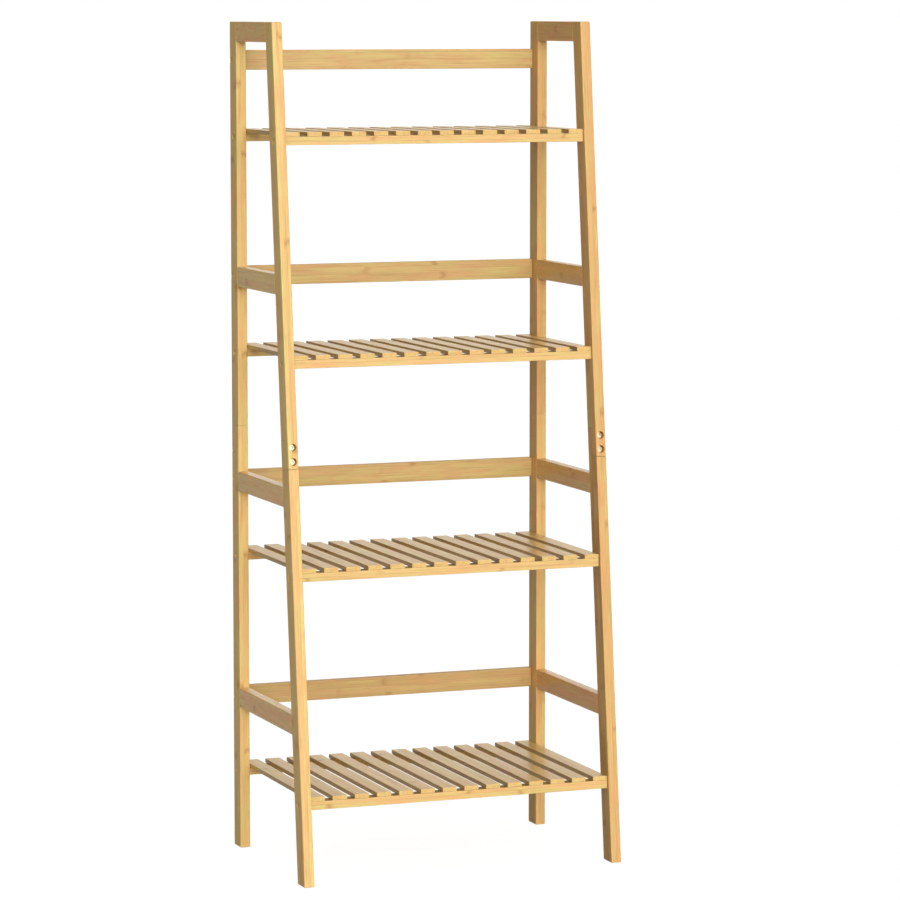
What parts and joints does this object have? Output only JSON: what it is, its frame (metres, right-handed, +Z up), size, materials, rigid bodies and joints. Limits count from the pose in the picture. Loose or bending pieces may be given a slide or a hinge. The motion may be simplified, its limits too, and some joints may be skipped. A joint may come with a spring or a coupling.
{
  "type": "ladder shelf",
  "caption": "Freestanding bamboo ladder shelf with upright rear posts, leaning front legs, slatted shelves that get shallower upwards, and rails at the back and sides.",
  "frame": {"origin": "on the floor, at the centre of the bounding box", "axes": "+Z up, +Y to the back, +X to the right as seen from the front"},
  "size_m": [0.48, 0.3199, 1.2],
  "materials": {
    "frame_bamboo": "satin clear lacquer over laminated bamboo",
    "rail_bamboo": "satin clear lacquer over laminated bamboo",
    "shelf_bamboo": "glossy clear lacquer over bamboo slats",
    "steel": "zinc plated"
  },
  "bodies": {
    "root": {"back_rail_1": "rail_bamboo", "back_rail_2": "rail_bamboo", "back_rail_3": "rail_bamboo", "back_rail_4": "rail_bamboo", "left_back_rail_bolt_1": "steel", "left_back_rail_bolt_2": "steel", "left_back_rail_bolt_3": "steel", "left_back_rail_bolt_4": "steel", "left_front_leg_lower": "frame_bamboo", "left_front_leg_upper": "frame_bamboo", "left_guard_rail_1": "frame_bamboo", "left_guard_rail_2": "frame_bamboo", "left_guard_rail_3": "frame_bamboo", "left_leg_lap_bolt_lower": "steel", "left_leg_lap_bolt_upper": "steel", "left_post_lap_bolt_lower": "steel", "left_post_lap_bolt_upper": "steel", "left_rear_post_lower": "frame_bamboo", "left_rear_post_upper": "frame_bamboo", "left_shelf_bolt_1_front": "steel", "left_shelf_bolt_1_rear": "steel", "left_shelf_bolt_2_front": "steel", "left_shelf_bolt_2_rear": "steel", "left_shelf_bolt_3_front": "steel", "left_shelf_bolt_3_rear": "steel", "left_shelf_bolt_4_front": "steel", "left_shelf_bolt_4_rear": "steel", "left_top_piece": "frame_bamboo", "right_back_rail_bolt_1": "steel", "right_back_rail_bolt_2": "steel", "right_back_rail_bolt_3": "steel", "right_back_rail_bolt_4": "steel", "right_front_leg_lower": "frame_bamboo", "right_front_leg_upper": "frame_bamboo", "right_guard_rail_1": "frame_bamboo", "right_guard_rail_2": "frame_bamboo", "right_guard_rail_3": "frame_bamboo", "right_leg_lap_bolt_lower": "steel", "right_leg_lap_bolt_upper": "steel", "right_post_lap_bolt_lower": "steel", "right_post_lap_bolt_upper": "steel", "right_rear_post_lower": "frame_bamboo", "right_rear_post_upper": "frame_bamboo", "right_shelf_bolt_1_front": "steel", "right_shelf_bolt_1_rear": "steel", "right_shelf_bolt_2_front": "steel", "right_shelf_bolt_2_rear": "steel", "right_shelf_bolt_3_front": "steel", "right_shelf_bolt_3_rear": "steel", "right_shelf_bolt_4_front": "steel", "right_shelf_bolt_4_rear": "steel", "right_top_piece": "frame_bamboo", "slatted_shelf_1": "shelf_bamboo", "slatted_shelf_2": "shelf_bamboo", "slatted_shelf_3": "shelf_bamboo", "slatted_shelf_4": "shelf_bamboo"}
  },
  "joints": []
}
